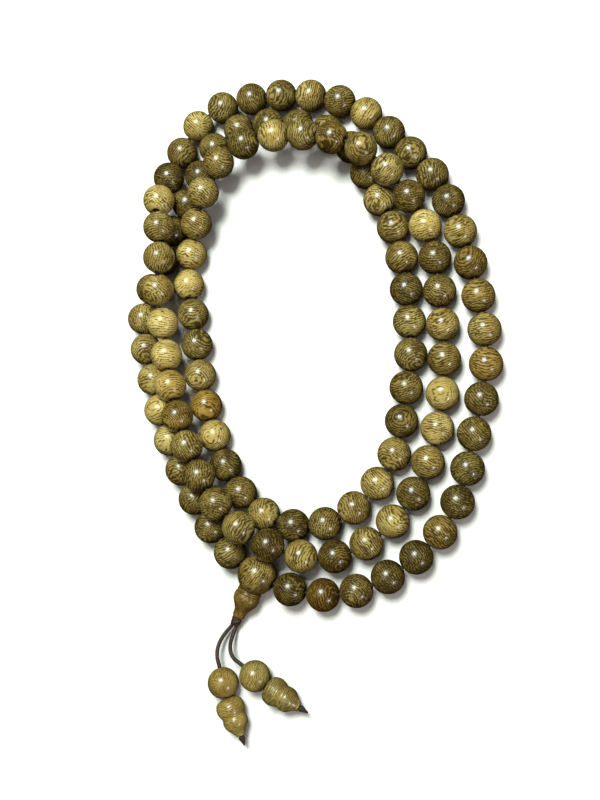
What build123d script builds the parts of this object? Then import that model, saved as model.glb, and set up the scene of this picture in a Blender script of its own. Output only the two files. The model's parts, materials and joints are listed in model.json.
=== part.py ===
from build123d import *
import math
import os

os.makedirs("parts", exist_ok=True)

# ---------------------------------------------------------------------------
# A string of 108 turned wooden beads with a three-hole guru bead, a small
# stupa bead, a wound binding and two cord tails that carry counter beads.
# It lies on a flat surface (z = 0), wound in three turns round an oval
# opening that a hand or a wrist goes through.  Millimetres, +Z up.
# ---------------------------------------------------------------------------

# driving dimensions
BEAD_DIA = 8.0          # main beads, polished balls
BEAD_BORE = 1.6         # string hole
MOUTH_DIA = 2.2         # countersunk mouth of the string hole
MOUTH_DEPTH = 0.30
CORD_DIA = 1.0          # waxed cord of the string and the tails

GURU_DIA = 9.5
GURU_BORE = 1.8
GURU_SIDE_BORE = 2.4    # third hole, where both legs of the string leave
GURU_PITCH = 9.76       # run of string inside the guru bead

PENDANT_DIP = 11.5      # degrees that the pendant slopes down to the surface
LEG_DIA = 0.84          # the two legs of the string, pulled tight side by side
LEG_OFFSET = 0.46
LEG_START = 1.05        # clear of the string in the through hole

STUPA_RIM = 3.95        # rim and tip of the stupa bead, from the guru's centre
STUPA_TIP = 11.70
STUPA_BORE = 2.2
STUPA_SEAT_R = GURU_DIA / 2 + 0.10

KNOT_TOP = 11.78        # wound binding below the stupa bead
KNOT_BOTTOM = 14.20
KNOT_DIA = 2.7
TAIL_START = 14.95      # centre of each tail's rounded top end
TAIL_SIDE = 0.60        # half the distance between the two tails' top ends

COUNTER_DIA = 7.5       # round counter bead
COUNTER_BORE = 1.5
GOURD_LEN = 9.3         # turned end bead below it
GOURD_BORE = 1.5
TIP_LEN = 2.3           # sealed cord end

PIVOT_GAP = 0.40        # string stops this far before a link that hinges

# The link points of the string: bead k lies between links k-1 and k, and the
# guru bead between link 108 and link 0.
LINKS = [
    (-6.766, -58.851, 4.826), (1.274, -60.757, 4.043), (9.568, -61.078, 3.969), (17.454, -58.491, 4.033),
    (24.628, -54.317, 3.967), (30.939, -49.222, 4.034), (35.814, -42.731, 3.966), (39.057, -35.342, 4.036),
    (40.510, -27.337, 3.964), (42.251, -19.222, 4.037), (43.989, -11.106, 3.963), (44.546, -2.825, 4.038),
    (43.397, 5.395, 3.962), (41.803, 13.540, 4.041), (39.783, 21.590, 3.959), (37.039, 29.422, 4.069),
    (34.141, 37.104, 3.931), (29.216, 43.495, 4.088), (23.431, 49.118, 3.912), (18.270, 55.320, 4.090),
    (11.811, 60.246, 3.910), (4.364, 63.399, 4.092), (-3.531, 65.064, 3.908), (-11.593, 65.395, 4.094),
    (-19.752, 65.123, 3.907), (-27.612, 62.463, 4.093), (-33.234, 56.360, 3.909), (-36.193, 48.623, 4.442),
    (-38.278, 41.626, 8.389), (-37.878, 34.197, 12.069), (-35.929, 26.129, 11.982), (-37.105, 18.108, 12.467),
    (-37.782, 10.546, 8.178), (-36.573, 2.065, 6.551), (-35.189, -6.047, 7.638), (-33.079, -14.042, 8.353),
    (-30.245, -21.810, 9.075), (-26.785, -29.318, 9.814), (-22.611, -36.471, 10.355), (-17.478, -42.994, 10.438),
    (-10.775, -47.813, 9.576), (-3.458, -51.117, 7.472), (4.241, -52.787, 4.860), (12.286, -50.937, 3.993),
    (19.348, -46.576, 4.017), (24.986, -40.538, 3.985), (29.111, -33.602, 4.015), (31.892, -25.885, 3.987),
    (33.605, -17.764, 4.013), (34.432, -9.505, 3.990), (34.439, -1.205, 4.010), (33.809, 7.071, 3.992),
    (32.919, 15.323, 4.014), (31.588, 23.513, 4.202), (28.520, 31.149, 5.285), (24.150, 37.930, 7.238),
    (19.093, 43.713, 10.380), (12.204, 47.953, 12.237), (4.450, 50.631, 10.973), (-3.504, 52.500, 9.514),
    (-11.777, 52.382, 8.870), (-19.831, 50.386, 8.654), (-25.183, 43.503, 8.774), (-27.480, 35.103, 9.221),
    (-30.305, 28.862, 4.536), (-32.260, 20.865, 3.477), (-31.306, 12.813, 4.523), (-29.190, 5.068, 3.531),
    (-28.739, -3.061, 4.475), (-26.789, -10.835, 3.532), (-24.892, -18.674, 4.468), (-21.834, -26.133, 3.547),
    (-18.698, -33.513, 4.453), (-13.424, -39.838, 3.551), (-6.440, -43.920, 4.449), (1.695, -45.314, 3.569),
    (9.612, -42.981, 4.440), (15.904, -37.786, 3.560), (20.890, -31.504, 4.453), (24.072, -23.935, 3.558),
    (24.404, -15.812, 4.442), (26.241, -8.002, 3.560), (26.617, 0.115, 4.447), (25.536, 8.062, 3.558),
    (25.020, 16.118, 4.442), (23.276, 23.982, 3.675), (20.665, 31.597, 4.325), (16.361, 38.499, 3.679),
    (13.794, 46.137, 4.321), (8.611, 52.589, 3.681), (1.175, 56.104, 4.329), (-6.818, 57.112, 3.864),
    (-14.993, 58.526, 4.136), (-22.850, 55.863, 3.876), (-28.480, 49.770, 4.133), (-30.516, 41.728, 3.867),
    (-35.247, 35.184, 4.133), (-38.496, 27.768, 3.867), (-40.211, 19.887, 4.133), (-44.151, 12.638, 3.873),
    (-44.383, 4.345, 4.127), (-41.844, -3.555, 3.969), (-39.942, -11.634, 4.031), (-37.314, -19.507, 3.972),
    (-34.030, -27.129, 4.028), (-30.348, -34.568, 3.974), (-26.287, -41.806, 4.027), (-21.302, -48.443, 3.986),
    (-15.321, -54.156, 4.674),
]

TOP_FIRST, TOP_LAST = 33, 62        # the upper turn, which lifts off the others
N_BEADS = 108
SPINNING = list(range(3, N_BEADS + 1, 3))
# the other beads share a node with their neighbours
GROUPS = [(1, 17), (19, 32), (34, 47), (49, 62),
          (64, 74), (76, 86), (88, 98), (100, 107)]

links = [Vector(*p) for p in LINKS]


def bead_centre(k):
    return (links[k - 1] + links[k]) * 0.5


def bead_axis(k):
    return (links[k] - links[k - 1]).normalized()


def across(u):
    """A unit vector square to u, as level as it can be."""
    side = Vector(0, 0, 1).cross(u)
    return side.normalized()


def lathe_plane(centre, u):
    """Local x runs along the bead's hole, local y is the radius."""
    n = across(u)
    return Plane(origin=centre, x_dir=u, z_dir=n)


def ball_section(dia, bore, mouth, depth):
    """Half section of a drilled ball with countersunk mouths."""
    r, rb, rm = dia / 2, bore / 2, mouth / 2
    hm = math.sqrt(r * r - rm * rm)
    with BuildSketch() as section:
        with BuildLine():
            ThreePointArc((hm, rm), (0, r), (-hm, rm))
            Polyline((-hm, rm), (-(hm - depth), rb), (hm - depth, rb), (hm, rm))
        make_face()
    return section.sketch


BEAD_SECTION = ball_section(BEAD_DIA, BEAD_BORE, MOUTH_DIA, MOUTH_DEPTH)
GURU_SECTION = ball_section(GURU_DIA, GURU_BORE, GURU_BORE + 0.7, 0.35)
COUNTER_SECTION = ball_section(COUNTER_DIA, COUNTER_BORE, COUNTER_BORE + 0.6, 0.3)


def corner_radii(points, spread, least):
    """One arc radius for each inner point of a cord's route."""
    out = []
    for a, b, c in zip(points, points[1:], points[2:]):
        turn = math.radians((b - a).get_angle(c - b))
        run = min((b - a).length, (c - b).length)
        r = 0.45 * run / math.tan(turn / 2)
        if spread:
            r = min(r, spread / (1 / math.cos(turn / 2) - 1))
        out.append(min(r, 400.0))
    if min(out) < least:
        print("small radius", min(out))
    return out


def cord_start(points):
    """The plane of a cord's first cross section."""
    return Plane(origin=points[0], z_dir=(points[1] - points[0]).normalized())


def check_tube(name, part, wire, radii):
    want = math.pi * CORD_DIA ** 2 / 4 * wire.length
    print(name, "length", round(wire.length, 2), "radii", [round(r, 1) for r in radii])
    print(name, "volume", round(part.volume, 3), "section x length", round(want, 3))


# ---------------------------------------------------------------------------
# main beads
# ---------------------------------------------------------------------------
for k in SPINNING:
    with BuildPart() as single_bead:
        with BuildSketch(lathe_plane(bead_centre(k), bead_axis(k))):
            add(BEAD_SECTION)
        revolve(axis=Axis(bead_centre(k), bead_axis(k)))
    single_bead.part.label = f"bead_{k:03d}"
    export_step(single_bead.part, f"parts/bead_{k:03d}.step")

for first, last in GROUPS:
    with BuildPart() as bead_group:
        for k in [n for n in range(first, last + 1) if n not in SPINNING]:
            with BuildSketch(lathe_plane(bead_centre(k), bead_axis(k))):
                add(BEAD_SECTION)
            revolve(axis=Axis(bead_centre(k), bead_axis(k)))
    bead_group.part.label = f"beads_{first:03d}_to_{last:03d}"
    export_step(bead_group.part, f"parts/beads_{first:03d}_to_{last:03d}.step")

# ---------------------------------------------------------------------------
# string: two stretches that stay with the lower turns and meet inside the
# guru bead, and one that lifts with the upper turn
# ---------------------------------------------------------------------------
guru_centre = (links[N_BEADS] + links[0]) * 0.5


def stop_short(pivot, inward):
    return pivot + (inward - pivot).normalized() * PIVOT_GAP


outer_route = [guru_centre] + links[0:TOP_FIRST - 1] + [stop_short(links[TOP_FIRST - 1], links[TOP_FIRST - 2])]
outer_radii = corner_radii(outer_route, 0.2, 3.0)
with BuildPart() as string_outer:
    with BuildLine() as outer_line:
        FilletPolyline(*outer_route, radius=outer_radii)
    with BuildSketch(cord_start(outer_route)):
        Circle(CORD_DIA / 2)
    sweep(path=outer_line.wire())
check_tube("string_outer", string_outer.part, outer_line.wire(), outer_radii)
string_outer.part.label = "string_outer"
export_step(string_outer.part, "parts/string_outer.step")

inner_route = [stop_short(links[TOP_LAST], links[TOP_LAST + 1])] + links[TOP_LAST + 1:N_BEADS + 1] + [guru_centre]
inner_radii = corner_radii(inner_route, 0.2, 3.0)
with BuildPart() as string_inner:
    with BuildLine() as inner_line:
        FilletPolyline(*inner_route, radius=inner_radii)
    with BuildSketch(cord_start(inner_route)):
        Circle(CORD_DIA / 2)
    sweep(path=inner_line.wire())
check_tube("string_inner", string_inner.part, inner_line.wire(), inner_radii)
string_inner.part.label = "string_inner"
export_step(string_inner.part, "parts/string_inner.step")

top_route = ([stop_short(links[TOP_FIRST - 1], links[TOP_FIRST])] + links[TOP_FIRST:TOP_LAST]
             + [stop_short(links[TOP_LAST], links[TOP_LAST - 1])])
top_radii = corner_radii(top_route, 0.2, 3.0)
with BuildPart() as string_top:
    with BuildLine() as top_line:
        FilletPolyline(*top_route, radius=top_radii)
    with BuildSketch(cord_start(top_route)):
        Circle(CORD_DIA / 2)
    sweep(path=top_line.wire())
check_tube("string_top", string_top.part, top_line.wire(), top_radii)
string_top.part.label = "string_top"
export_step(string_top.part, "parts/string_top.step")

# ---------------------------------------------------------------------------
# guru bead: a larger ball with a through hole for the string and a third
# hole towards the pendant
# ---------------------------------------------------------------------------
guru_dir = (links[0] - links[N_BEADS]).normalized()
dip = math.radians(PENDANT_DIP)
level_out = Vector(guru_dir.Y, -guru_dir.X, 0).normalized()
rough = level_out * math.cos(dip) - Vector(0, 0, 1) * math.sin(dip)
pendant_dir = (rough - guru_dir * rough.dot(guru_dir)).normalized()


def along(s, side=0.0):
    """A point on the pendant's axis, s from the guru's centre."""
    return guru_centre + pendant_dir * s + guru_dir * side


with BuildPart() as guru_bead:
    with BuildSketch(Plane(origin=guru_centre, x_dir=guru_dir, z_dir=guru_dir.cross(pendant_dir))):
        add(GURU_SECTION)
    revolve(axis=Axis(guru_centre, guru_dir))
    with BuildSketch(Plane(origin=guru_centre, z_dir=pendant_dir)):
        Circle(GURU_SIDE_BORE / 2)
    extrude(amount=GURU_DIA, mode=Mode.SUBTRACT)
guru_bead.part.label = "guru_bead"
export_step(guru_bead.part, "parts/guru_bead.step")

with BuildPart() as guru_cord_legs:
    with BuildSketch(Plane(origin=along(LEG_START), x_dir=guru_dir, z_dir=pendant_dir)):
        with Locations((LEG_OFFSET, 0), (-LEG_OFFSET, 0)):
            Circle(LEG_DIA / 2)
    extrude(amount=KNOT_TOP - LEG_START)
guru_cord_legs.part.label = "guru_cord_legs"
export_step(guru_cord_legs.part, "parts/guru_cord_legs.step")

# stupa bead: cupped seat on the guru bead, round belly, concave neck
seat_r = STUPA_SEAT_R
rim_r = math.sqrt(seat_r ** 2 - STUPA_RIM ** 2)
bore_r = STUPA_BORE / 2
seat_in = math.sqrt(seat_r ** 2 - bore_r ** 2)
seat_mid = (seat_r * math.cos(0.5 * (math.atan2(rim_r, STUPA_RIM) + math.atan2(bore_r, seat_in))),
            seat_r * math.sin(0.5 * (math.atan2(rim_r, STUPA_RIM) + math.atan2(bore_r, seat_in))))
with BuildPart() as stupa_bead:
    with BuildSketch(Plane(origin=guru_centre, x_dir=pendant_dir, z_dir=pendant_dir.cross(guru_dir))):
        with BuildLine():
            ThreePointArc((seat_in, bore_r), seat_mid, (STUPA_RIM, rim_r))
            Line((STUPA_RIM, rim_r), (STUPA_RIM + 0.28, rim_r + 0.12))
            Spline((STUPA_RIM + 0.28, rim_r + 0.12), (5.35, 2.95), (6.60, 3.20), (7.90, 2.86), (9.05, 2.12),
                   (10.20, 1.62), (STUPA_TIP - 0.25, 1.52))
            Polyline((STUPA_TIP - 0.25, 1.52), (STUPA_TIP, 1.36), (STUPA_TIP, bore_r), (seat_in, bore_r))
        make_face()
    revolve(axis=Axis(guru_centre, pendant_dir))
stupa_bead.part.label = "stupa_bead"
export_step(stupa_bead.part, "parts/stupa_bead.step")

# wound binding: a short barrel of four turns of cord
with BuildPart() as binding_knot:
    with BuildSketch(Plane(origin=guru_centre, x_dir=pendant_dir, z_dir=pendant_dir.cross(guru_dir))):
        with BuildLine():
            Polyline((KNOT_TOP, 0), (KNOT_TOP, 1.05))
            ThreePointArc((KNOT_TOP, 1.05), ((KNOT_TOP + KNOT_BOTTOM) / 2, KNOT_DIA / 2), (KNOT_BOTTOM, 1.05))
            Polyline((KNOT_BOTTOM, 1.05), (KNOT_BOTTOM, 0), (KNOT_TOP, 0))
        make_face()
    revolve(axis=Axis(guru_centre, pendant_dir))
binding_knot.part.label = "binding_knot"
export_step(binding_knot.part, "parts/binding_knot.step")

# ---------------------------------------------------------------------------
# the two tails: routes on the surface, from the binding to the sealed end
# ---------------------------------------------------------------------------
# local offsets from each tail's top end, millimetres
TAIL_A = [(-1.30, -1.50, 0.25), (-2.35, -3.30, 0.85), (-2.85, -5.30, 1.55), (-2.70, -7.35, 2.05)]
A_ENTRY = Vector(-2.10, -9.30, 0)
A_HEADING = Vector(0.285, -0.958, 0)
A_GOURD_HEADING = Vector(0.385, -0.920, -0.075)
TAIL_B = [(-0.43, -1.85, 0.70), (-0.60, -3.65, 1.60), (-0.20, -5.45, 2.35), (0.85, -7.05, 2.45)]
B_ENTRY = Vector(2.75, -8.25, 0)
B_HEADING = Vector(0.800, -0.600, 0)
B_GOURD_HEADING = Vector(0.870, -0.488, -0.075)


def tail_points(top, offsets, entry, heading, gourd_heading):
    """Route of a tail, the axis of its round bead and of its end bead."""
    z_ball = COUNTER_DIA / 2
    u, v = heading.normalized(), gourd_heading.normalized()
    enter = Vector(top.X + entry.X, top.Y + entry.Y, z_ball)
    centre = enter + u * (COUNTER_DIA / 2 + 0.45)
    joint = centre + u * (COUNTER_DIA / 2 - 0.02)
    end = joint + v * (GOURD_LEN + 0.09)
    route = [top] + [top + Vector(*o) for o in offsets] + [enter, joint, end]
    return route, centre, u, joint + v * 0.04, v, end


top_a = along(TAIL_START, -TAIL_SIDE)
top_b = along(TAIL_START, TAIL_SIDE)
route_a, ball_a, ball_a_dir, gourd_a, gourd_a_dir, end_a = tail_points(top_a, TAIL_A, A_ENTRY, A_HEADING, A_GOURD_HEADING)
route_b, ball_b, ball_b_dir, gourd_b, gourd_b_dir, end_b = tail_points(top_b, TAIL_B, B_ENTRY, B_HEADING, B_GOURD_HEADING)

radii_a = corner_radii(route_a, 0.22, 3.0)
with BuildPart() as tail_cord_a:
    with BuildLine() as tail_line_a:
        FilletPolyline(*route_a, radius=radii_a)
    with BuildSketch(cord_start(route_a)):
        Circle(CORD_DIA / 2)
    sweep(path=tail_line_a.wire())
    with Locations(top_a):
        Sphere(CORD_DIA / 2)
check_tube("tail_cord_a", tail_cord_a.part, tail_line_a.wire(), radii_a)
tail_cord_a.part.label = "tail_cord_a"
export_step(tail_cord_a.part, "parts/tail_cord_a.step")

radii_b = corner_radii(route_b, 0.22, 3.0)
with BuildPart() as tail_cord_b:
    with BuildLine() as tail_line_b:
        FilletPolyline(*route_b, radius=radii_b)
    with BuildSketch(cord_start(route_b)):
        Circle(CORD_DIA / 2)
    sweep(path=tail_line_b.wire())
    with Locations(top_b):
        Sphere(CORD_DIA / 2)
check_tube("tail_cord_b", tail_cord_b.part, tail_line_b.wire(), radii_b)
tail_cord_b.part.label = "tail_cord_b"
export_step(tail_cord_b.part, "parts/tail_cord_b.step")


def gourd_section():
    """End bead: a barrel, a shallow waist and a lower lobe drawn to a point."""
    g, rb = GOURD_LEN, GOURD_BORE / 2
    with BuildSketch() as section:
        with BuildLine():
            Polyline((0.30, rb), (0, rb + 0.3), (0, 1.95))
            Spline((0, 1.95), (0.55, 2.85), (1.60, 3.40), (2.60, 3.50), (3.70, 3.22), (4.60, 2.80),
                   (5.50, 3.00), (6.50, 2.85), (7.50, 2.20), (8.30, 1.55), (g, 1.10))
            Polyline((g, 1.10), (g, rb), (0.30, rb))
        make_face()
    return section.sketch


def tip_section():
    """Sealed, pointed end of a tail."""
    with BuildSketch() as section:
        with BuildLine():
            Line((0, 0), (0, 0.72))
            Spline((0, 0.72), (0.55, 0.74), (1.30, 0.48), (TIP_LEN, 0.20))
            Polyline((TIP_LEN, 0.20), (TIP_LEN, 0), (0, 0))
        make_face()
    return section.sketch


GOURD_SECTION = gourd_section()
TIP_SECTION = tip_section()

with BuildPart() as counter_ball_a:
    with BuildSketch(lathe_plane(ball_a, ball_a_dir)):
        add(COUNTER_SECTION)
    revolve(axis=Axis(ball_a, ball_a_dir))
counter_ball_a.part.label = "counter_ball_a"
export_step(counter_ball_a.part, "parts/counter_ball_a.step")

with BuildPart() as counter_ball_b:
    with BuildSketch(lathe_plane(ball_b, ball_b_dir)):
        add(COUNTER_SECTION)
    revolve(axis=Axis(ball_b, ball_b_dir))
counter_ball_b.part.label = "counter_ball_b"
export_step(counter_ball_b.part, "parts/counter_ball_b.step")

with BuildPart() as end_bead_a:
    with BuildSketch(lathe_plane(gourd_a, gourd_a_dir)):
        add(GOURD_SECTION)
    revolve(axis=Axis(gourd_a, gourd_a_dir))
end_bead_a.part.label = "end_bead_a"
export_step(end_bead_a.part, "parts/end_bead_a.step")

with BuildPart() as end_bead_b:
    with BuildSketch(lathe_plane(gourd_b, gourd_b_dir)):
        add(GOURD_SECTION)
    revolve(axis=Axis(gourd_b, gourd_b_dir))
end_bead_b.part.label = "end_bead_b"
export_step(end_bead_b.part, "parts/end_bead_b.step")

with BuildPart() as cord_tip_a:
    with BuildSketch(lathe_plane(end_a, gourd_a_dir)):
        add(TIP_SECTION)
    revolve(axis=Axis(end_a, gourd_a_dir))
cord_tip_a.part.label = "cord_tip_a"
export_step(cord_tip_a.part, "parts/cord_tip_a.step")

with BuildPart() as cord_tip_b:
    with BuildSketch(lathe_plane(end_b, gourd_b_dir)):
        add(TIP_SECTION)
    revolve(axis=Axis(end_b, gourd_b_dir))
cord_tip_b.part.label = "cord_tip_b"
export_step(cord_tip_b.part, "parts/cord_tip_b.step")


def fmt(v):
    return "(%.4f, %.4f, %.4f)" % (v.X, v.Y, v.Z)


for label, value in (("guru_centre", guru_centre), ("guru_dir", guru_dir), ("pendant_dir", pendant_dir),
                     ("top_a", top_a), ("top_b", top_b), ("ball_a", ball_a), ("ball_a_dir", ball_a_dir),
                     ("ball_b", ball_b), ("ball_b_dir", ball_b_dir), ("gourd_a", gourd_a), ("gourd_a_dir", gourd_a_dir),
                     ("gourd_b", gourd_b), ("gourd_b_dir", gourd_b_dir), ("end_a", end_a), ("end_b", end_b)):
    print(label, fmt(value))
print("route_a", [fmt(p) for p in route_a])
print("route_b", [fmt(p) for p in route_b])
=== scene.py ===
"""Looks of a wooden mala: 108 polished beads in three turns, a guru bead with its stupa bead, a wound binding and
two cord tails with counter beads, lying on a pale surface. Metres, in the CAD frame."""

import json
import math
import random

import bpy
import numpy as np
from mathutils import Matrix, Vector

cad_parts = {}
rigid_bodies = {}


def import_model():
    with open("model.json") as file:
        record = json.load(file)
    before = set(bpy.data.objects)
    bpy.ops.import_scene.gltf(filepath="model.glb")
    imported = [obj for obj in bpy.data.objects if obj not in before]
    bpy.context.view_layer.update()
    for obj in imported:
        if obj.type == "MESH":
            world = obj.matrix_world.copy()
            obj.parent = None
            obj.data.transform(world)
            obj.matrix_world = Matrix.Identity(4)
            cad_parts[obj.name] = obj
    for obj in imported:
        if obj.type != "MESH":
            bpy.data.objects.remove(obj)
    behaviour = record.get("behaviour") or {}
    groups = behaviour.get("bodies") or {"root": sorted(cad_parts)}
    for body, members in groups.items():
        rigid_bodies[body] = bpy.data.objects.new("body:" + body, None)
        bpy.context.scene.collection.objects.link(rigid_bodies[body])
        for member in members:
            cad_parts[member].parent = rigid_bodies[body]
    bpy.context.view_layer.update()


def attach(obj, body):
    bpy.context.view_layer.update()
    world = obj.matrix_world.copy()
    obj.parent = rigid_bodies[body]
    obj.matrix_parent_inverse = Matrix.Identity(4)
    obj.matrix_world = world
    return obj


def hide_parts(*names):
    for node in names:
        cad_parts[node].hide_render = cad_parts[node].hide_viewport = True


for old in list(bpy.data.objects):
    bpy.data.objects.remove(old, do_unlink=True)

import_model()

MM = 0.001
# link points of the string, as in the CAD source, millimetres
LINKS = np.array([
    (-6.766, -58.851, 4.826), (1.274, -60.757, 4.043), (9.568, -61.078, 3.969), (17.454, -58.491, 4.033),
    (24.628, -54.317, 3.967), (30.939, -49.222, 4.034), (35.814, -42.731, 3.966), (39.057, -35.342, 4.036),
    (40.510, -27.337, 3.964), (42.251, -19.222, 4.037), (43.989, -11.106, 3.963), (44.546, -2.825, 4.038),
    (43.397, 5.395, 3.962), (41.803, 13.540, 4.041), (39.783, 21.590, 3.959), (37.039, 29.422, 4.069),
    (34.141, 37.104, 3.931), (29.216, 43.495, 4.088), (23.431, 49.118, 3.912), (18.270, 55.320, 4.090),
    (11.811, 60.246, 3.910), (4.364, 63.399, 4.092), (-3.531, 65.064, 3.908), (-11.593, 65.395, 4.094),
    (-19.752, 65.123, 3.907), (-27.612, 62.463, 4.093), (-33.234, 56.360, 3.909), (-36.193, 48.623, 4.442),
    (-38.278, 41.626, 8.389), (-37.878, 34.197, 12.069), (-35.929, 26.129, 11.982), (-37.105, 18.108, 12.467),
    (-37.782, 10.546, 8.178), (-36.573, 2.065, 6.551), (-35.189, -6.047, 7.638), (-33.079, -14.042, 8.353),
    (-30.245, -21.810, 9.075), (-26.785, -29.318, 9.814), (-22.611, -36.471, 10.355), (-17.478, -42.994, 10.438),
    (-10.775, -47.813, 9.576), (-3.458, -51.117, 7.472), (4.241, -52.787, 4.860), (12.286, -50.937, 3.993),
    (19.348, -46.576, 4.017), (24.986, -40.538, 3.985), (29.111, -33.602, 4.015), (31.892, -25.885, 3.987),
    (33.605, -17.764, 4.013), (34.432, -9.505, 3.990), (34.439, -1.205, 4.010), (33.809, 7.071, 3.992),
    (32.919, 15.323, 4.014), (31.588, 23.513, 4.202), (28.520, 31.149, 5.285), (24.150, 37.930, 7.238),
    (19.093, 43.713, 10.380), (12.204, 47.953, 12.237), (4.450, 50.631, 10.973), (-3.504, 52.500, 9.514),
    (-11.777, 52.382, 8.870), (-19.831, 50.386, 8.654), (-25.183, 43.503, 8.774), (-27.480, 35.103, 9.221),
    (-30.305, 28.862, 4.536), (-32.260, 20.865, 3.477), (-31.306, 12.813, 4.523), (-29.190, 5.068, 3.531),
    (-28.739, -3.061, 4.475), (-26.789, -10.835, 3.532), (-24.892, -18.674, 4.468), (-21.834, -26.133, 3.547),
    (-18.698, -33.513, 4.453), (-13.424, -39.838, 3.551), (-6.440, -43.920, 4.449), (1.695, -45.314, 3.569),
    (9.612, -42.981, 4.440), (15.904, -37.786, 3.560), (20.890, -31.504, 4.453), (24.072, -23.935, 3.558),
    (24.404, -15.812, 4.442), (26.241, -8.002, 3.560), (26.617, 0.115, 4.447), (25.536, 8.062, 3.558),
    (25.020, 16.118, 4.442), (23.276, 23.982, 3.675), (20.665, 31.597, 4.325), (16.361, 38.499, 3.679),
    (13.794, 46.137, 4.321), (8.611, 52.589, 3.681), (1.175, 56.104, 4.329), (-6.818, 57.112, 3.864),
    (-14.993, 58.526, 4.136), (-22.850, 55.863, 3.876), (-28.480, 49.770, 4.133), (-30.516, 41.728, 3.867),
    (-35.247, 35.184, 4.133), (-38.496, 27.768, 3.867), (-40.211, 19.887, 4.133), (-44.151, 12.638, 3.873),
    (-44.383, 4.345, 4.127), (-41.844, -3.555, 3.969), (-39.942, -11.634, 4.031), (-37.314, -19.507, 3.972),
    (-34.030, -27.129, 4.028), (-30.348, -34.568, 3.974), (-26.287, -41.806, 4.027), (-21.302, -48.443, 3.986),
    (-15.321, -54.156, 4.674),
])
TOP = range(33, 63)
SPINNING = [k for k in range(1, 109) if k % 3 == 0]
GROUPS = [(1, 17), (19, 32), (34, 47), (49, 62), (64, 74), (76, 86), (88, 98), (100, 107)]
BEAD_R, BORE_R = 4.0, 0.8
CORD_R = 0.5


def unit(v):
    v = np.asarray(v, float)
    return v / np.linalg.norm(v)


def centre_of(k):
    return 0.5 * (LINKS[k - 1] + LINKS[k])


def axis_of(k):
    return unit(LINKS[k] - LINKS[k - 1])


GURU = 0.5 * (LINKS[108] + LINKS[0])
GURU_DIR = unit(LINKS[0] - LINKS[108])
dip = math.radians(11.5)
level = unit([GURU_DIR[1], -GURU_DIR[0], 0])
rough = level * math.cos(dip) - np.array([0, 0, 1.0]) * math.sin(dip)
PEND = unit(rough - GURU_DIR * (rough @ GURU_DIR))


def along(s, side=0.0):
    return GURU + PEND * s + GURU_DIR * side


TOP_A, TOP_B = along(14.95, -0.60), along(14.95, 0.60)
# routes of the tails and the places of their beads, as in the CAD source, millimetres
ROUTE_A = [(-18.5770, -69.0802, 1.7608), (-19.8770, -70.5802, 2.0108), (-20.9270, -72.3802, 2.6108), (-21.4270, -74.3802, 3.3108), (-21.2770, -76.4302, 3.8108), (-20.6770, -78.3802, 3.7500), (-18.4158, -85.9810, 3.7500), (-14.8011, -94.6187, 3.0458)]
ROUTE_B = [(-17.5251, -69.6575, 1.7795), (-17.9551, -71.5075, 2.4795), (-18.1251, -73.3075, 3.3795), (-17.7251, -75.1075, 4.1295), (-16.6751, -76.7075, 4.2295), (-14.7751, -77.9075, 3.7500), (-8.4311, -82.6655, 3.7500), (-0.2646, -87.2463, 3.0460)]
BALL_A = (-19.4794, -82.4058, 3.7500)
BALL_A_DIR = (0.2851, -0.9585, 0.0000)
GOURD_A = (-18.4004, -86.0178, 3.7470)
GOURD_A_DIR = (0.3850, -0.9199, -0.0750)
END_A = (-14.8011, -94.6187, 3.0458)
BALL_B = (-11.4151, -80.4275, 3.7500)
BALL_B_DIR = (0.8000, -0.6000, 0.0000)
GOURD_B = (-8.3964, -82.6850, 3.7470)
GOURD_B_DIR = (0.8697, -0.4878, -0.0750)
END_B = (-0.2646, -87.2463, 3.0460)

# ---------------------------------------------------------------------------
# camera first
# ---------------------------------------------------------------------------
cam_data = bpy.data.cameras.new("camera")
cam_data.lens = 49.5
cam_data.sensor_width = 36
cam_data.clip_start = 0.01
cam_data.clip_end = 10
camera = bpy.data.objects.new("camera", cam_data)
bpy.context.scene.collection.objects.link(camera)
camera.matrix_world = Matrix(((0.951718, 0.029829, 0.305520, 0.081075), (0.016342, 0.988933, -0.147460, -0.053784), (-0.306538, 0.145333, 0.940698, 0.257184), (0, 0, 0, 1)))
bpy.context.scene.camera = camera


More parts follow.
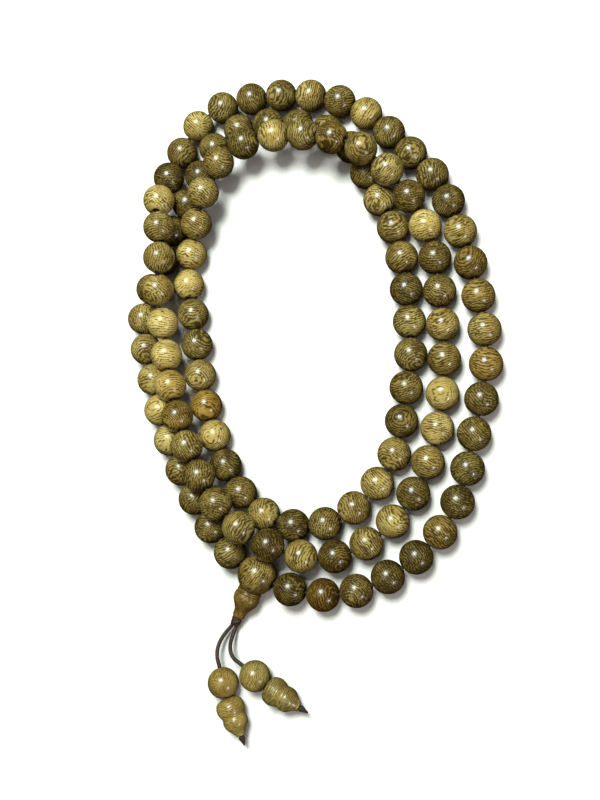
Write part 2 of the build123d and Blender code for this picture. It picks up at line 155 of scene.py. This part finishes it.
# ---------------------------------------------------------------------------
# materials
# ---------------------------------------------------------------------------
class Nodes:
    """Small helper for building a node tree."""

    def __init__(self, name):
        self.mat = bpy.data.materials.new(name)
        self.mat.use_nodes = True
        self.t = self.mat.node_tree
        self.t.nodes.clear()
        self.out = self.t.nodes.new("ShaderNodeOutputMaterial")
        self.bsdf = self.t.nodes.new("ShaderNodeBsdfPrincipled")
        self.t.links.new(self.bsdf.outputs[0], self.out.inputs[0])

    def link(self, a, b):
        self.t.links.new(a, b)

    def put(self, socket, value):
        if hasattr(value, "is_output") or isinstance(value, bpy.types.NodeSocket):
            self.link(value, socket)
        else:
            socket.default_value = value

    def attr(self, name, out="Fac"):
        n = self.t.nodes.new("ShaderNodeAttribute")
        n.attribute_name = name
        return n.outputs[out]

    def math(self, op, a, b=None, c=None, clamp=False):
        n = self.t.nodes.new("ShaderNodeMath")
        n.operation = op
        n.use_clamp = clamp
        self.put(n.inputs[0], a)
        if b is not None:
            self.put(n.inputs[1], b)
        if c is not None:
            self.put(n.inputs[2], c)
        return n.outputs[0]

    def vec(self, op, a, b=None, scale=None):
        n = self.t.nodes.new("ShaderNodeVectorMath")
        n.operation = op
        self.put(n.inputs[0], a)
        if b is not None:
            self.put(n.inputs[1], b)
        if scale is not None:
            self.put(n.inputs["Scale"], scale)
        return n.outputs["Value"] if op in ("LENGTH", "DOT_PRODUCT") else n.outputs["Vector"]

    def combine(self, x, y, z):
        n = self.t.nodes.new("ShaderNodeCombineXYZ")
        for s, v in zip(n.inputs, (x, y, z)):
            self.put(s, v)
        return n.outputs[0]

    def noise(self, vector, scale=1.0, detail=2.0, rough=0.5, out="Fac"):
        n = self.t.nodes.new("ShaderNodeTexNoise")
        self.put(n.inputs["Vector"], vector)
        n.inputs["Scale"].default_value = scale
        n.inputs["Detail"].default_value = detail
        n.inputs["Roughness"].default_value = rough
        return n.outputs[out]

    def step(self, value, lo, hi, a=0.0, b=1.0):
        n = self.t.nodes.new("ShaderNodeMapRange")
        n.interpolation_type = "SMOOTHSTEP"
        self.put(n.inputs["Value"], value)
        n.inputs["From Min"].default_value = lo
        n.inputs["From Max"].default_value = hi
        n.inputs["To Min"].default_value = a
        n.inputs["To Max"].default_value = b
        return n.outputs[0]

    def mix(self, fac, a, b, blend="MIX"):
        n = self.t.nodes.new("ShaderNodeMix")
        n.data_type = "RGBA"
        n.blend_type = blend
        self.put(n.inputs[0], fac)
        for s, v in ((n.inputs[6], a), (n.inputs[7], b)):
            if isinstance(v, tuple):
                s.default_value = (*v, 1.0)
            else:
                self.link(v, s)
        return n.outputs[2]

    def bump(self, height, strength, distance):
        n = self.t.nodes.new("ShaderNodeBump")
        n.inputs["Strength"].default_value = strength
        n.inputs["Distance"].default_value = distance
        self.link(height, n.inputs["Height"])
        self.link(n.outputs[0], self.bsdf.inputs["Normal"])


def wood(name):
    """Polished banded hardwood. The grain attribute is the place in the blank in millimetres: x out from the pith,
    z along the fibres. Sheets of light tissue alternate with dark fibre, broken into dashes along the grain."""
    m = Nodes(name)
    grain, seed = m.attr("grain", "Vector"), m.attr("seed")
    tone, warm, mark = m.attr("tone"), m.attr("warm"), m.attr("mark")
    shift = m.combine(m.math("MULTIPLY", seed, 171.3), m.math("MULTIPLY", seed, -93.1), m.math("MULTIPLY", seed, 57.7))
    place = m.vec("ADD", grain, shift)
    # slow waves in the growth layers
    wander = m.vec("SUBTRACT", m.noise(place, 0.30, 2.0, 0.5, "Color"), (0.5, 0.5, 0.5))
    wander = m.vec("MULTIPLY", wander, (2.0, 2.0, 0.0))
    ripple = m.vec("SUBTRACT", m.noise(m.vec("MULTIPLY", place, (1.3, 1.3, 0.6)), 1.0, 3.0, 0.6, "Color"), (0.5, 0.5, 0.5))
    ripple = m.vec("MULTIPLY", ripple, (0.55, 0.55, 0.0))
    bent = m.vec("ADD", m.vec("ADD", grain, wander), ripple)
    pith = m.vec("ADD", m.vec("MULTIPLY", bent, (1.0, 1.0, 0.25)), m.combine(m.math("MULTIPLY_ADD", seed, 9.0, 7.0), 0.0, 0.0))
    layer = m.vec("LENGTH", pith)
    wave = m.math("SINE", m.math("MULTIPLY_ADD", layer, 2 * math.pi / 0.53, m.math("MULTIPLY", seed, 40.0)))
    # dashes: long along the fibres, short across them
    dash = m.math("SUBTRACT", m.noise(m.vec("MULTIPLY", place, (2.6, 2.6, 0.34)), 1.0, 3.0, 0.58), 0.5)
    speck = m.math("SUBTRACT", m.noise(m.vec("MULTIPLY", place, (3.8, 3.8, 0.60)), 1.0, 2.0, 0.55), 0.5)
    patch = m.math("SUBTRACT", m.noise(m.vec("MULTIPLY", place, (0.36, 0.36, 0.20)), 1.0, 2.0, 0.5), 0.5)
    cover = m.math("MULTIPLY_ADD", dash, 4.2, m.math("MULTIPLY", wave, 0.66))
    cover = m.math("MULTIPLY_ADD", speck, 2.8, cover)
    cover = m.math("MULTIPLY_ADD", patch, 2.2, cover)
    bias = m.math("MULTIPLY_ADD", tone, -0.95, 0.62)
    dark = m.step(m.math("ADD", cover, bias), -0.38, 0.70)
    # fine open vessels, dots on end grain and ticks along the side
    tick = m.noise(m.vec("MULTIPLY", place, (5.2, 5.2, 0.9)), 1.0, 2.0, 0.5)
    tick = m.step(tick, 0.585, 0.67)
    # rays: pale flecks that run out from the pith
    ray = m.noise(m.vec("MULTIPLY", place, (0.8, 5.6, 1.6)), 1.0, 2.0, 0.5)
    ray = m.step(ray, 0.59, 0.68)
    fine = m.noise(m.vec("MULTIPLY", place, (7.0, 7.0, 0.7)), 1.0, 3.0, 0.6)
    broad = m.noise(place, 0.24, 2.0, 0.5)
    # colours, from dark beads to golden ones
    light = m.mix(tone, (0.200, 0.154, 0.033), (0.660, 0.530, 0.190))
    light = m.mix(m.math("MULTIPLY", warm, 0.8), light, m.mix(tone, (0.200, 0.092, 0.010), (0.470, 0.262, 0.032)))
    light = m.mix(m.step(broad, 0.36, 0.64, 0.0, 0.5), light, m.mix(tone, (0.094, 0.054, 0.006), (0.360, 0.222, 0.024)))
    deep = m.mix(tone, (0.0110, 0.0052, 0.0006), (0.066, 0.032, 0.002))
    colour = m.mix(m.math("MULTIPLY", m.math("MULTIPLY", dark, 0.93), mark), light, deep)
    colour = m.mix(m.math("MULTIPLY", m.math("MULTIPLY", tick, 0.45), mark), colour, m.mix(tone, (0.010, 0.006, 0.002), (0.080, 0.040, 0.006)))
    colour = m.mix(m.math("MULTIPLY", ray, 0.28), colour, light)
    colour = m.mix(0.30, colour, m.mix(fine, (0.30, 0.30, 0.30), (0.78, 0.78, 0.78)), "OVERLAY")
    m.link(colour, m.bsdf.inputs["Base Color"])
    m.link(m.math("MULTIPLY_ADD", dark, 0.05, m.math("MULTIPLY_ADD", tick, 0.10, 0.36)), m.bsdf.inputs["Roughness"])
    m.bsdf.inputs["Specular IOR Level"].default_value = 0.16
    m.bsdf.inputs["Coat Weight"].default_value = 0.72
    m.bsdf.inputs["Coat Roughness"].default_value = 0.22
    height = m.math("MULTIPLY_ADD", m.math("MAXIMUM", tick, m.math("MULTIPLY", dark, 0.4)), -1.0, m.math("MULTIPLY", fine, 0.25))
    m.bump(height, 0.25, 0.00006)
    return m.mat


def cord_material():
    """Dark brown waxed braid; an attribute made from the braid's relief paints shade into the grooves between the
    strands and a highlight onto their crowns.
    """
    m = Nodes("waxed_cord")
    lay = m.attr("lay")
    texco = m.t.nodes.new("ShaderNodeTexCoord")
    grit = m.noise(texco.outputs["Object"], 5200.0, 3.0, 0.6)
    # painted shade in the grooves between the strands, painted highlight on their crowns
    base = m.mix(lay, (0.014, 0.0065, 0.0030), (0.050, 0.025, 0.0135))
    base = m.mix(m.step(grit, 0.40, 0.80, 0.0, 0.4), base, (0.072, 0.041, 0.027))
    m.link(base, m.bsdf.inputs["Base Color"])
    m.link(m.math("MULTIPLY_ADD", grit, 0.25, 0.42), m.bsdf.inputs["Roughness"])
    m.bsdf.inputs["Specular IOR Level"].default_value = 0.30
    m.bsdf.inputs["Sheen Weight"].default_value = 0.05
    m.bsdf.inputs["Sheen Roughness"].default_value = 0.5
    m.bump(grit, 0.25, 0.00003)
    return m.mat


WOOD = wood("banded_wood")
CORD = cord_material()


# ---------------------------------------------------------------------------
# meshes
# ---------------------------------------------------------------------------
class Build:
    """Gathers turned shapes and tubes into one mesh with the attributes that the materials read."""

    def __init__(self):
        self.v, self.f, self.a = [], [], {"grain": [], "tone": [], "seed": [], "warm": [], "mark": [], "lay": []}
        self.n = 0

    def add(self, verts, faces, grain=None, tone=0.0, seed=0.0, warm=0.0, mark=1.0, lay=None):
        self.v.append(verts)
        self.f += [tuple(i + self.n for i in f) for f in faces]
        k = len(verts)
        self.n += k
        self.a["grain"].append(np.zeros((k, 3)) if grain is None else grain)
        self.a["tone"].append(np.full(k, tone))
        self.a["seed"].append(np.full(k, seed))
        self.a["warm"].append(np.full(k, warm))
        self.a["mark"].append(np.full(k, mark))
        self.a["lay"].append(np.full(k, 1.0) if lay is None else lay)

    def make(self, name, body, nodes, material):
        co = np.vstack(self.v) * MM
        mesh = bpy.data.meshes.new(name)
        mesh.from_pydata(co.tolist(), [], self.f)
        mesh.polygons.foreach_set("use_smooth", [True] * len(mesh.polygons))
        if material is WOOD:
            g = mesh.attributes.new("grain", "FLOAT_VECTOR", "POINT")
            g.data.foreach_set("vector", np.vstack(self.a["grain"]).astype(np.float32).ravel())
            for key in ("tone", "seed", "warm", "mark"):
                d = mesh.attributes.new(key, "FLOAT", "POINT")
                d.data.foreach_set("value", np.concatenate(self.a[key]).astype(np.float32))
        else:
            d = mesh.attributes.new("lay", "FLOAT", "POINT")
            d.data.foreach_set("value", np.concatenate(self.a["lay"]).astype(np.float32))
        mesh.materials.append(material)
        mesh.update()
        mesh.validate()
        o = bpy.data.objects.new(name, mesh)
        bpy.context.scene.collection.objects.link(o)
        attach(o, body)
        if nodes:
            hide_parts(*nodes)
        return o


def frame_of(u):
    """Two directions square to u; the first is level."""
    s = np.cross([0, 0, 1.0], u)
    s = unit(s) if np.linalg.norm(s) > 1e-6 else np.array([1.0, 0, 0])
    return s, np.cross(u, s)


def lathe(profile, c, u, seg, closed=True, wobble=None):
    """Turns a profile of (along, radius) points about the line through c along u."""
    s, t = frame_of(u)
    n = len(profile)
    ang = np.linspace(0, 2 * math.pi, seg, endpoint=False)
    verts = np.empty((n, seg, 3))
    for i, (a, r) in enumerate(profile):
        rr = np.full(seg, r) if wobble is None else r * (1 + wobble(a, ang))
        verts[i] = c + u * a + np.cos(ang)[:, None] * s * rr[:, None] + np.sin(ang)[:, None] * t * rr[:, None]
    faces = []
    for i in range(n if closed else n - 1):
        j = (i + 1) % n
        for k in range(seg):
            q = (k + 1) % seg
            faces.append((i * seg + k, i * seg + q, j * seg + q, j * seg + k))
    return verts.reshape(-1, 3), faces


def ball_profile(r, bore, mouth, steps, back=True):
    """A drilled ball: rounded mouths, then the wall of the hole."""
    t0 = math.asin(mouth / r)
    pts = [(r * math.cos(t), r * math.sin(t)) for t in np.linspace(t0, math.pi - t0, steps)]
    edge = r * math.cos(t0)
    lip = [(-edge + 0.03, mouth - 0.12), (-edge + 0.13, bore + 0.03), (-edge + 0.30, bore)]
    inner = [(x, bore) for x in np.linspace(-edge + 1.2, edge - 1.2, 3)]
    return pts + lip + inner + [(-a, b) for a, b in reversed(lip)]


def grain_frame(u, turn, ring, tilt):
    """The blank's axes for a bead strung along u. turn sets where the fibres point round the string: 0 is level,
    90 is up. ring turns the growth layers about the fibres: at 0 the layers are square to the string."""
    s, t = frame_of(u)
    g = math.cos(turn) * s + math.sin(turn) * t
    g = unit(g * math.cos(tilt) + u * math.sin(tilt))
    x = unit(u - g * (u @ g))
    y = np.cross(g, x)
    return math.cos(ring) * x + math.sin(ring) * y, -math.sin(ring) * x + math.cos(ring) * y, g


def grain_of(verts, c, axes):
    x, y, g = axes
    d = verts - c
    return np.stack([d @ x, d @ y, d @ g], 1)


# tone classes, darkest to lightest
TONES = [
    (0.04, [7, 84, 5, 41, 1, 4, 28, 75, 43]),
    (0.15, [2, 55, 8, 16, 96, 61, 80, 10, 72, 53, 3, 46, 97, 95]),
    (0.27, [14, 27, 39, 58, 36, 19, 23, 82, 81, 108, 107, 21, 68, 18, 24, 76, 52, 6, 73, 38, 106, 17, 9]),
    (0.40, [85, 79, 64, 44, 62, 77, 31, 59, 40, 50, 37, 30, 67, 47, 13, 86, 57, 25, 105, 83]),
    (0.55, [11, 63, 74, 12, 22, 69, 15, 70, 56, 101, 32, 45, 51, 42, 78, 87, 100]),
    (0.74, [20, 104, 65, 48, 102, 71, 49, 60, 26, 35]),
    (0.92, [54, 29, 33, 66, 34, 103]),
]
WARM = {2: 1.0, 70: 0.9, 14: 0.6, 36: 0.6, 11: 0.7, 55: 0.5, 58: 0.5, 43: 0.5, 6: 0.5, 35: 0.45, 13: 0.4, 41: 0.4}
STRIPED = [34, 35, 33, 48, 66, 29, 22, 11, 12, 15, 54, 45, 44, 47, 60, 59, 13, 102, 83, 78, 20, 26, 56, 65, 51, 40, 67, 101, 42, 63]
RINGED = [49, 71, 104, 103, 69, 86, 57, 32]
ENDWISE = [16, 17, 10, 7, 4, 3, 5, 31, 8, 9, 53, 46, 82, 84, 1, 28, 75, 43, 55, 27, 30, 21, 24, 76, 72, 68, 37, 38, 41, 106, 107]
rng = random.Random(108)
LOOK = {}
for k in range(1, 109):
    tone = next((t for t, members in TONES if k in members), 0.25) + rng.uniform(-0.04, 0.04)
    warm = WARM.get(k, rng.uniform(0.0, 0.22))
    if k in STRIPED:
        turn, ring, tilt = rng.uniform(-22, 22), rng.uniform(-28, 28), rng.uniform(-9, 9)
    elif k in RINGED:
        turn, ring, tilt = rng.uniform(-20, 20), 90 + rng.uniform(-22, 22), rng.uniform(-12, 12)
    elif k in ENDWISE:
        turn, ring, tilt = 90 + rng.uniform(-38, 38), rng.uniform(0, 180), rng.uniform(-15, 15)
    else:
        turn, ring, tilt = rng.uniform(0, 180), rng.uniform(0, 180), rng.uniform(-20, 20)
    LOOK[k] = dict(tone=min(max(tone, 0.0), 1.0), warm=warm, seed=rng.random(),
                   angles=(math.radians(turn), math.radians(ring), math.radians(tilt)))

BEAD_PROFILE = ball_profile(BEAD_R, BORE_R, 1.05, 22)


def put_bead(build, k):
    c, u = centre_of(k), axis_of(k)
    v, f = lathe(BEAD_PROFILE, c, u, 36)
    look = LOOK[k]
    build.add(v, f, grain_of(v, c, grain_frame(u, *look["angles"])), look["tone"], look["seed"], look["warm"])


def body_for(k):
    return "top_turn" if k in TOP else "lower_turns"


for k in SPINNING:
    b = Build()
    put_bead(b, k)
    b.make(f"wood_bead_{k:03d}", f"bead_{k:03d}", [f"bead_{k:03d}"], WOOD)
for first, last in GROUPS:
    b = Build()
    for k in range(first, last + 1):
        if k not in SPINNING:
            put_bead(b, k)
    name = f"{first:03d}_to_{last:03d}"
    b.make(f"wood_beads_{name}", body_for(first), [f"beads_{name}"], WOOD)

# ---------------------------------------------------------------------------
# guru bead, stupa bead
# ---------------------------------------------------------------------------
b = Build()
v, f = lathe(ball_profile(4.75, 0.9, 1.2, 30), GURU, GURU_DIR, 48)
b.add(v, f, grain_of(v, GURU, grain_frame(GURU_DIR, math.radians(12), math.radians(55), math.radians(24))) * 1.15, 0.33, 0.37, 0.30, 1.0)
guru = b.make("guru_ball", "guru", ["guru_bead"], WOOD)


def smooth_profile(points, steps):
    """Points on a smooth line through the given (along, radius) points."""
    p = np.array(points, float)
    d = np.r_[0, np.cumsum(np.linalg.norm(np.diff(p, axis=0), axis=1))]
    m = np.zeros_like(p)
    m[1:-1] = (p[2:] - p[:-2]) / (d[2:] - d[:-2])[:, None]
    m[0], m[-1] = (p[1] - p[0]) / (d[1] - d[0]), (p[-1] - p[-2]) / (d[-1] - d[-2])
    out = []
    for q in np.linspace(0, d[-1], steps):
        i = min(max(int(np.searchsorted(d, q)) - 1, 0), len(d) - 2)
        h = d[i + 1] - d[i]
        t = (q - d[i]) / h
        out.append((2 * t ** 3 - 3 * t ** 2 + 1) * p[i] + (t ** 3 - 2 * t ** 2 + t) * h * m[i]
                   + (-2 * t ** 3 + 3 * t ** 2) * p[i + 1] + (t ** 3 - t ** 2) * h * m[i + 1])
    return [tuple(x) for x in out]


seat_r = 4.85
seat = [(math.sqrt(seat_r ** 2 - r * r), r) for r in np.linspace(1.1, 2.72, 6)]
stupa_outer = smooth_profile(
    [(4.01, 2.80), (4.12, 2.93), (4.26, 2.93), (4.36, 2.80), (4.48, 2.80), (4.60, 2.96), (4.80, 3.02), (4.98, 2.96),
     (5.10, 2.86), (5.35, 2.95), (5.95, 3.14), (6.60, 3.20), (7.25, 3.10), (7.90, 2.84), (8.50, 2.48), (9.05, 2.14),
     (9.65, 1.83), (10.20, 1.64), (10.90, 1.55), (11.45, 1.52), (11.60, 1.47), (11.68, 1.34)], 74)
stupa_inner = [(11.60, 1.13), (11.3, 1.1), (9.0, 1.1), (6.5, 1.1)]
v, f = lathe(seat + stupa_outer + stupa_inner, GURU, PEND, 48)
b = Build()
b.add(v, f, grain_of(v, GURU + PEND * 7.5, grain_frame(PEND, math.radians(68), math.radians(20), math.radians(62))) * 1.25, 0.22, 0.81, 0.80, 0.75)
b.make("stupa_turned", "stupa", ["stupa_bead"], WOOD)


# ---------------------------------------------------------------------------
# cord: a braid laid along a line
# ---------------------------------------------------------------------------
def smooth_line(name, points):
    """The line of a NURBS curve with these control points, as Blender draws it, in millimetres."""
    data = bpy.data.curves.new(name, "CURVE")
    data.dimensions = "3D"
    data.resolution_u = 12
    s = data.splines.new("NURBS")
    s.points.add(len(points) - 1)
    for q, p in zip(s.points, points):
        q.co = (*(np.asarray(p) * MM), 1.0)
    s.order_u = 3
    s.use_endpoint_u = True
    o = bpy.data.objects.new(name, data)
    bpy.context.scene.collection.objects.link(o)
    bpy.context.view_layer.update()
    mesh = bpy.data.meshes.new_from_object(o)
    line = np.array([v.co for v in mesh.vertices]) / MM
    bpy.data.meshes.remove(mesh)
    bpy.data.objects.remove(o, do_unlink=True)
    if np.linalg.norm(line[0] - np.asarray(points[0])) > np.linalg.norm(line[-1] - np.asarray(points[0])):
        line = line[::-1]
    return line


def even(line, step):
    d = np.r_[0, np.cumsum(np.linalg.norm(np.diff(line, axis=0), axis=1))]
    n = max(int(d[-1] / step), 2)
    q = np.linspace(0, d[-1], n + 1)
    return np.stack([np.interp(q, d, line[:, i]) for i in range(3)], 1), q


def frames_along(p):
    """Tangents and two side directions that don't twist."""
    t = np.gradient(p, axis=0)
    t /= np.linalg.norm(t, axis=1)[:, None]
    s = np.empty_like(p)
    s[0] = frame_of(t[0])[0]
    for i in range(1, len(p)):
        w = s[i - 1] - t[i] * (s[i - 1] @ t[i])
        s[i] = unit(w)
    return t, s, np.cross(t, s)


def braid_tube(build, line, radius, step=0.09, seg=24, plait=1.3, strands=6, relief=0.07, cap0=True, cap1=True, plain=False, taper=0.0):
    """A round braid: strands cross both ways round the tube, raised at the crowns."""
    p, d = even(line, step)
    t, s, w = frames_along(p)
    ang = np.linspace(0, 2 * math.pi, seg, endpoint=False)
    rows, lay = [], []
    total = d[-1]
    for i in range(len(p)):
        a = strands * ang + 2 * math.pi * d[i] / plait * strands / 2
        c = strands * ang - 2 * math.pi * d[i] / plait * strands / 2
        crown = np.abs(np.sin(a / 2)) * np.abs(np.sin(c / 2))
        h = np.zeros(seg) if plain else crown
        rr = radius * (1 - relief + relief * h)
        end = min(d[i], total - d[i])
        if (cap0 and d[i] < radius) or (cap1 and total - d[i] < radius):
            rr = rr * math.sqrt(max(1 - (1 - end / radius) ** 2, 0.0)) if end < radius else rr
            rr = np.maximum(rr, 0.02 * radius)
        if total - d[i] < taper:
            rr = rr * (0.22 + 0.78 * (total - d[i]) / taper)
        rows.append(p[i] + np.cos(ang)[:, None] * s[i] * rr[:, None] + np.sin(ang)[:, None] * w[i] * rr[:, None])
        # crowns get the cord's painted highlight, grooves its painted shade
        lay.append(0.25 + 0.75 * h)
    n = len(rows)
    verts, lay = np.vstack(rows), np.concatenate(lay)
    faces = []
    for i in range(n - 1):
        for k in range(seg):
            q = (k + 1) % seg
            faces.append((i * seg + k, i * seg + q, (i + 1) * seg + q, (i + 1) * seg + k))
    faces.append(tuple(reversed(range(seg))))
    faces.append(tuple((n - 1) * seg + k for k in range(seg)))
    build.add(verts, faces, lay=lay)
    return p


def string_piece(name, points, body, node):
    """A stretch of the string inside the beads; only slivers of it show at the links."""
    line = smooth_line(name + "_line", points)
    b = Build()
    # plain strands: the whole string is coloured mostly with the dark painted groove shade
    braid_tube(b, line, CORD_R, step=0.55, seg=10, relief=0.0, plain=True)
    return b.make(name, body, [node], CORD)


string_piece("string_lower_outer", [GURU] + [LINKS[k] for k in range(0, 33)], "lower_turns", "string_outer")
string_piece("string_lower_inner", [LINKS[k] for k in range(62, 109)] + [GURU], "lower_turns", "string_inner")
string_piece("string_upper", [LINKS[k] for k in range(32, 63)], "top_turn", "string_top")

# the two legs of the string under the binding
b = Build()
for side in (-1, 1):
    braid_tube(b, np.array([along(1.2, 0.46 * side), along(6.0, 0.46 * side), along(11.9, 0.46 * side)]), 0.42, step=0.25, seg=12, relief=0.08)
b.make("string_legs", "guru", ["guru_cord_legs"], CORD)

# wound binding: wraps of cord round the legs, one strand over them, and the stubs that the tails hang from
b = Build()
s_dir, t_dir = frame_of(PEND)
wraps = 2.75
turns = np.linspace(0, 2 * math.pi * wraps, 170)
coil_line = np.array([along(12.12 + 1.70 * (q / turns[-1])) + (math.cos(q + 0.6) * s_dir + math.sin(q + 0.6) * t_dir) * (0.92 - 0.16 * q / turns[-1])
                      + PEND * 0.13 * math.sin(q + 2.0) for q in turns])
braid_tube(b, coil_line, 0.43, step=0.09, seg=18)
over = np.array([along(12.05) + s_dir * 0.98 + t_dir * 0.30, along(12.55) + s_dir * 0.86 + t_dir * 0.95,
                 along(13.20) + s_dir * 0.05 + t_dir * 1.22, along(13.85) - s_dir * 0.62 + t_dir * 0.85,
                 along(14.15) - s_dir * 0.62 + t_dir * 0.20])
braid_tube(b, smooth_line("over", over), 0.36, step=0.09, seg=16)
for route, side in ((ROUTE_A, -1), (ROUTE_B, 1)):
    pivot = np.array(route[0])
    way = unit(np.array(route[1]) - pivot)
    stub = [along(11.95, 0.46 * side), along(12.9, 0.44 * side), along(13.9, 0.52 * side) , pivot - way * 0.35, pivot + way * 0.47]
    braid_tube(b, smooth_line("stub", stub), 0.475, step=0.09, seg=24)
b.make("binding_wraps", "guru", ["binding_knot"], CORD)


# ---------------------------------------------------------------------------
# tails with their counter beads
# ---------------------------------------------------------------------------
def tail(letter, route, ball, ball_dir, top, top_dir, end, look):
    body = f"counter_{letter}"
    # a rounded end centred on the pivot, the route's own points, then on into the sealed end
    route = [np.array(p) for p in route]
    first = unit(route[1] - route[0])
    points = [route[0] - first * CORD_R] + route + [np.array(end) + np.array(top_dir) * 2.1]
    line = smooth_line(f"tail_{letter}_line", points)
    b = Build()
    path = braid_tube(b, line, CORD_R, step=0.09, taper=2.2)
    cord = b.make(f"tail_{letter}_braid", body, [f"tail_cord_{letter}"], CORD)

    ball, ball_dir, top, top_dir = map(np.array, (ball, ball_dir, top, top_dir))
    b = Build()
    v, f = lathe(ball_profile(3.75, 0.75, 1.05, 26), ball, ball_dir, 44)
    b.add(v, f, grain_of(v, ball, grain_frame(ball_dir, *look["ball"])) * 1.25, look["tone"], look["seed"], look["warm"], look["mark"])
    ball_o = b.make(f"counter_{letter}_round", f"counter_{letter}_ball", [f"counter_ball_{letter}"], WOOD)

    outer = smooth_profile(
        [(0.02, 1.55), (0.10, 1.95), (0.32, 2.52), (0.62, 2.92), (1.00, 3.18), (1.20, 3.27), (1.32, 3.19), (1.45, 3.32),
         (1.85, 3.43), (2.08, 3.46), (2.20, 3.37), (2.33, 3.48), (2.68, 3.46), (2.90, 3.41), (3.02, 3.30), (3.15, 3.36),
         (3.50, 3.24), (3.85, 3.06), (4.20, 2.86), (4.50, 2.79), (4.75, 2.83), (5.05, 2.94), (5.50, 3.01), (6.00, 2.97),
         (6.50, 2.85), (7.05, 2.54), (7.55, 2.13), (8.00, 1.75), (8.45, 1.44), (8.90, 1.22), (9.18, 1.12), (9.27, 0.98)], 96)
    inner = [(9.20, 0.78), (8.9, 0.75), (6.0, 0.75), (3.0, 0.75), (0.4, 0.75), (0.10, 0.95), (0.01, 1.15)]
    v, f = lathe(outer + inner, top, top_dir, 44)
    b = Build()
    b.add(v, f, grain_of(v, top + top_dir * 4.5, grain_frame(top_dir, *look["end"])) * 1.25, look["tone2"], look["seed"] + 0.21, look["warm2"], look["mark2"])
    end_o = b.make(f"counter_{letter}_turned", f"counter_{letter}_end", [f"end_bead_{letter}"], WOOD)

    tip = smooth_profile([(0.0, 0.55), (0.10, 0.70), (0.40, 0.75), (0.80, 0.66), (1.30, 0.48), (1.80, 0.32), (2.15, 0.22), (2.28, 0.10)], 26)
    b = Build()
    v, f = lathe(tip, np.array(end), top_dir, 20, closed=False,
                 wobble=lambda a, g: 0.07 * np.sin(2 * g + 2.6 * a) * min(1.0, a * 2) * (1 - a / 2.6))
    n = len(tip)
    f.append(tuple(reversed(range(20))))
    f.append(tuple((n - 1) * 20 + k for k in range(20)))
    # the sealed end gets one even mix of the painted groove shade and the painted crown highlight
    b.add(v, f, lay=np.full(len(v), 0.35))
    tip_o = b.make(f"tail_{letter}_sealed_end", body, [f"cord_tip_{letter}"], CORD)
    long = float(np.linalg.norm(np.diff(path, axis=0), axis=1).sum())
    print("tail", letter, "mm", round(long, 2))


rad = math.radians
tail("a", ROUTE_A, BALL_A, BALL_A_DIR, GOURD_A, GOURD_A_DIR, END_A,
     dict(ball=(rad(60), rad(40), rad(20)), end=(rad(20), rad(15), rad(10)), tone=0.47, warm=0.50, mark=0.75, tone2=0.52, warm2=0.3, mark2=0.65, seed=0.13))
tail("b", ROUTE_B, BALL_B, BALL_B_DIR, GOURD_B, GOURD_B_DIR, END_B,
     dict(ball=(rad(15), rad(30), rad(-15)), end=(rad(40), rad(10), rad(8)), tone=0.48, warm=0.15, mark=0.75, tone2=0.34, warm2=0.0, mark2=0.8, seed=0.55))

# ---------------------------------------------------------------------------
# surface and light
# ---------------------------------------------------------------------------
floor_mesh = bpy.data.meshes.new("floor")
floor_mesh.from_pydata([(-3, -3, 0), (3, -3, 0), (3, 3, 0), (-3, 3, 0)], [], [(0, 1, 2, 3)])
floor = bpy.data.objects.new("floor", floor_mesh)
bpy.context.scene.collection.objects.link(floor)
m = Nodes("pale_surface")
m.bsdf.inputs["Base Color"].default_value = (0.90, 0.90, 0.89, 1)
m.bsdf.inputs["Roughness"].default_value = 0.8
m.bsdf.inputs["Specular IOR Level"].default_value = 0.1
floor_mesh.materials.append(m.mat)
floor.visible_glossy = False
floor.visible_diffuse = False

# a soft sky that darkens and warms towards and below the horizon, as over a hand
world = bpy.data.worlds.new("studio")
world.use_nodes = True
wt = world.node_tree
place = wt.nodes.new("ShaderNodeTexCoord")
split = wt.nodes.new("ShaderNodeSeparateXYZ")
ramp = wt.nodes.new("ShaderNodeValToRGB")
wt.links.new(place.outputs["Generated"], split.inputs[0])
wt.links.new(split.outputs["Z"], ramp.inputs["Fac"])
wt.links.new(ramp.outputs["Color"], wt.nodes["Background"].inputs["Color"])
ramp.color_ramp.elements[0].position = 0.0
ramp.color_ramp.elements[0].color = (0.110, 0.060, 0.026, 1)
ramp.color_ramp.elements[1].position = 0.85
ramp.color_ramp.elements[1].color = (1.0, 0.94, 0.80, 1)
wt.nodes["Background"].inputs["Strength"].default_value = 0.10
# what the camera itself sees of the sky is plain and pale, as paper is
pale = wt.nodes.new("ShaderNodeBackground")
pale.inputs["Color"].default_value = (0.86, 0.87, 0.86, 1)
pale.inputs["Strength"].default_value = 1.0
rays = wt.nodes.new("ShaderNodeLightPath")
either = wt.nodes.new("ShaderNodeMixShader")
wt.links.new(rays.outputs["Is Camera Ray"], either.inputs[0])
wt.links.new(wt.nodes["Background"].outputs[0], either.inputs[1])
wt.links.new(pale.outputs[0], either.inputs[2])
wt.links.new(either.outputs[0], wt.nodes["World Output"].inputs["Surface"])
bpy.context.scene.world = world
bpy.context.scene.view_settings.view_transform = "Standard"


def area(name, place, target, size, power, colour=(1, 1, 1)):
    d = bpy.data.lights.new(name, "AREA")
    d.shape = "ELLIPSE"
    d.size, d.size_y = size
    d.energy = power
    d.color = colour
    o = bpy.data.objects.new(name, d)
    o.location = place
    o.rotation_euler = (Vector(target) - Vector(place)).to_track_quat("-Z", "Y").to_euler()
    bpy.context.scene.collection.objects.link(o)
    return o


area("key", (0.00, 0.25, 0.70), (0, 0, 0), (0.33, 0.33), 8.3, (0.93, 1.0, 0.93))
area("second", (0.42, -0.38, 0.22), (0, 0, 0), (0.12, 0.12), 1.0, (1.0, 0.95, 0.94))
area("fill", (-0.05, -0.1, 1.1), (0, 0, 0), (0.6, 0.6), 1.3, (1, 0.96, 0.84))
